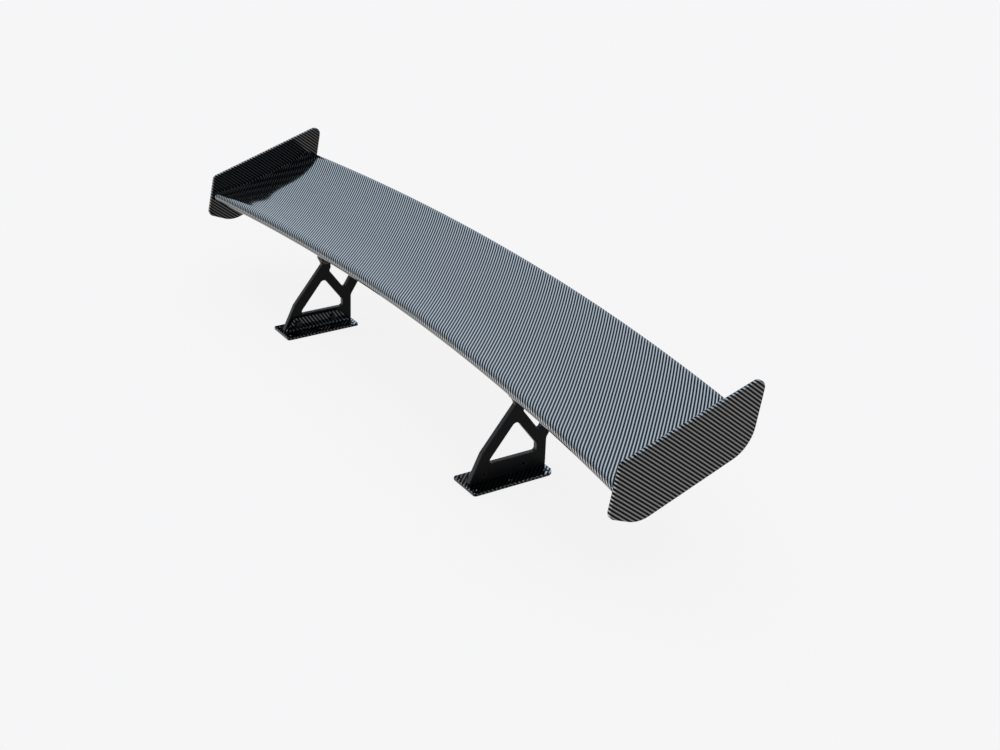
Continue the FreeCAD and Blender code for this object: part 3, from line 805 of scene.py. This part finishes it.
@dataclass
class Hardware:
    """Brackets, bushes, bolts, washers and nuts.

    Each place is y and z from the outlines' datum. The seats and the face are x of the right side.
    """

    datum_y: float = -14.15 * MM
    pivot: Axis = (-34.0 * MM, 143.0 * MM)
    clamp: Axis = (75.9 * MM, 158.2 * MM)
    feet: tuple[Axis, ...] = ((-100.0 * MM, 18.8 * MM), (-25.3 * MM, 18.4 * MM))
    upright_face: float = 367.6 * MM
    nut_seat: float = 348.6 * MM
    foot_nut_seat: float = 350.9 * MM
    washer_t: float = 1.6 * MM
    foot_washer_t: float = 1.2 * MM
    washer_r: float = 8.5 * MM
    clamp_washer_r: float = 11.0 * MM
    foot_washer_r: float = 6.0 * MM
    washer_play: float = 0.2 * MM
    past_nut: float = 1.5 * MM
    under_head: float = 0.3 * MM

    def axis(self, place: Axis) -> Axis:
        """Moves a place from the outlines' datum to the part's own frame."""
        return place[0] + self.datum_y, place[1]

    def clamped_joint(self, kind: str, place: Axis, inner_r: float) -> None:
        """Makes the bolts, washers and nuts of one kind of M8 joint.

        Args:
            kind: The start of its nodes' names.
            place: Where it lies.
            inner_r: The radius of the washer under the nut.
        """
        axis, seat = self.axis(place), self.upright_face + self.washer_t
        bore = M8.shank_r + self.washer_play
        bolts, washers, nuts = Turning(), Turning(), Turning()
        tip = self.nut_seat - M8.nut_height - self.past_nut
        bolts.lathe(bolts.shank(M8, tip, seat) + bolts.domed_head(M8, seat), axis, False)
        washers.washer(axis, self.upright_face, self.washer_t, self.washer_r, bore)
        washers.washer(axis, self.nut_seat, self.washer_t, inner_r, bore)
        nuts.nut(M8, axis, self.nut_seat)
        for turning, name in ((bolts, "bolts"), (washers, "washers"), (nuts, "nuts")):
            turning.finished(f"{kind}_{name}", OXIDE)

    def foot_joints(self) -> None:
        """Makes the countersunk bolts, washers and nuts that hold the feet."""
        bolts, washers, nuts = Turning(), Turning(), Turning()
        tip = self.foot_nut_seat - M6.nut_height - self.past_nut
        end = self.upright_face - (M6.head_r - M6.shank_r) - self.under_head
        for place in self.feet:
            axis = self.axis(place)
            bolts.lathe(bolts.shank(M6, tip, end) + bolts.sunk_head(M6, self.upright_face), axis, False)
            washers.washer(axis, self.foot_nut_seat, self.foot_washer_t, self.foot_washer_r,
                           M6.shank_r + self.washer_play)
            nuts.nut(M6, axis, self.foot_nut_seat)
        bolts.finished("foot_bolts", SUNK_HEAD)
        washers.finished("foot_washers", OXIDE)
        nuts.finished("foot_nuts", OXIDE)

    def build(self) -> None:
        """Makes the turned pieces."""
        self.clamped_joint("pivot", self.pivot, self.washer_r)
        self.clamped_joint("clamp", self.clamp, self.clamp_washer_r)
        self.foot_joints()

    def dress(self) -> None:
        """Finishes the other small parts."""
        dress(both("bracket"), BLACK_BRACKET)
        dress(both("pivot_bush"), BRONZE)
        dress(["thrust_washers"], NYLON)
        dress(["bracket_screws"], OXIDE)


# ---- studio ---------------------------------------------------------------------------------

@dataclass
class Studio:
    """A pale floor and backdrop, soft light all round that is brighter on the left, and the camera.

    The floor's own glow hides most of a shadow, and shadow_share is what is left of it.
    """

    azimuth: float = 59.07
    elevation: float = 24.88
    roll: float = 0.12
    place: tuple[float, float, float] = (2.3062, -1.2485, 1.2343)
    lens: float = 57.03
    sensor: float = 36.0
    shift: tuple[float, float] = (0.0014, 0.0012)
    sight: float = 200.0
    floor_size: float = 60.0
    floor_colour: str = "#FCFBFB"
    shadow_share: float = 0.12
    backdrop: str = "#F6F6F7"
    horizon: str = "#FAFBFC"
    zenith: str = "#D3E1F0"
    sky_rise: tuple[float, float] = (0.05, 0.4)
    light_from: tuple[float, float, float] = (-0.93, 0.0, 0.37)
    side_strengths: tuple[float, float] = (0.86, 1.06)
    front_share: float = 0.42
    front_fade: tuple[float, float] = (-0.6, -0.1)

    def build(self) -> None:
        """Sets up floor, light and camera."""
        bpy.context.scene.view_settings.view_transform = "Standard"
        self.floor()
        self.light()
        self.camera()

    def floor(self) -> None:
        """Lays the floor: a pale matt sheet that shows only faint shadows."""
        bm = bmesh.new()
        bmesh.ops.create_grid(bm, x_segments=1, y_segments=1, size=self.floor_size / 2)
        mesh = bpy.data.meshes.new("floor")
        bm.to_mesh(mesh)
        bm.free()
        material = bpy.data.materials.new("pale_floor")
        tree = cleared(material)
        matt = add(tree, "BsdfDiffuse", {"Color": linear(self.floor_colour)})
        glow = add(tree, "Emission", {"Color": linear(self.floor_colour), "Strength": 1.0})
        mix = add(tree, "MixShader", {0: self.shadow_share, 1: glow, 2: matt})
        add(tree, "OutputMaterial", {"Surface": mix})
        mesh.materials.append(material)
        floor = bpy.data.objects.new("floor", mesh)
        bpy.context.scene.collection.objects.link(floor)

    def light(self) -> None:
        """Lights the scene from all round, more from the left and above and less from the front.

        What is seen past the floor is a plain pale backdrop, and only the light comes from the sky.
        """
        world = bpy.data.worlds.new("soft_studio")
        bpy.context.scene.world = world
        tree = cleared(world)
        direction = add(tree, "TexCoord").outputs["Generated"]
        along = add(tree, "SeparateXYZ", {0: direction}).outputs
        towards = add(tree, "VectorMath", {0: direction, 1: self.light_from},
                      operation="DOT_PRODUCT").outputs["Value"]
        side = add(tree, "MapRange", {"Value": towards, "From Min": -1.0, "From Max": 1.0,
                                      "To Min": self.side_strengths[0], "To Max": self.side_strengths[1]})
        front = add(tree, "MapRange", {"Value": along[1], "From Min": self.front_fade[0],
                                       "From Max": self.front_fade[1], "To Min": self.front_share,
                                       "To Max": 1.0})
        rise = add(tree, "MapRange", {"Value": along[2], "From Min": self.sky_rise[0],
                                      "From Max": self.sky_rise[1]})
        sky = add(tree, "Mix", {"Factor": rise, 6: linear(self.horizon), 7: linear(self.zenith)},
                  data_type="RGBA").outputs[2]
        strength = add(tree, "Math", {0: side, 1: front}, operation="MULTIPLY")
        glow = add(tree, "Background", {"Color": sky, "Strength": strength})
        paper = add(tree, "Background", {"Color": linear(self.backdrop), "Strength": 1.0})
        seen = add(tree, "LightPath").outputs["Is Camera Ray"]
        add(tree, "OutputWorld", {"Surface": add(tree, "MixShader", {0: seen, 1: glow, 2: paper})})

    def camera(self) -> None:
        """Places the camera."""
        a, e = math.radians(self.azimuth), math.radians(self.elevation)
        forward = Vector((-math.sin(a) * math.cos(e), math.cos(a) * math.cos(e), -math.sin(e)))
        data = bpy.data.cameras.new("camera")
        data.lens, data.sensor_width = self.lens, self.sensor
        data.shift_x, data.shift_y = self.shift
        data.clip_end = self.sight
        camera = bpy.data.objects.new("camera", data)
        look = forward.to_track_quat("-Z", "Y").to_matrix().to_4x4()
        roll = Matrix.Rotation(math.radians(self.roll), 4, "Z")
        camera.matrix_world = Matrix.Translation(self.place) @ look @ roll
        bpy.context.scene.collection.objects.link(camera)
        bpy.context.scene.camera = camera


def main() -> None:
    """Builds the studio, the wing, the stand and the hardware."""
    logging.basicConfig(level=logging.INFO, format="%(name)s: %(message)s")
    Studio().build()
    wing = Wing()
    wing.build()
    wing.dress()
    Stand().dress()
    hardware = Hardware()
    hardware.build()
    hardware.dress()


if __name__ == "__main__":
    main()
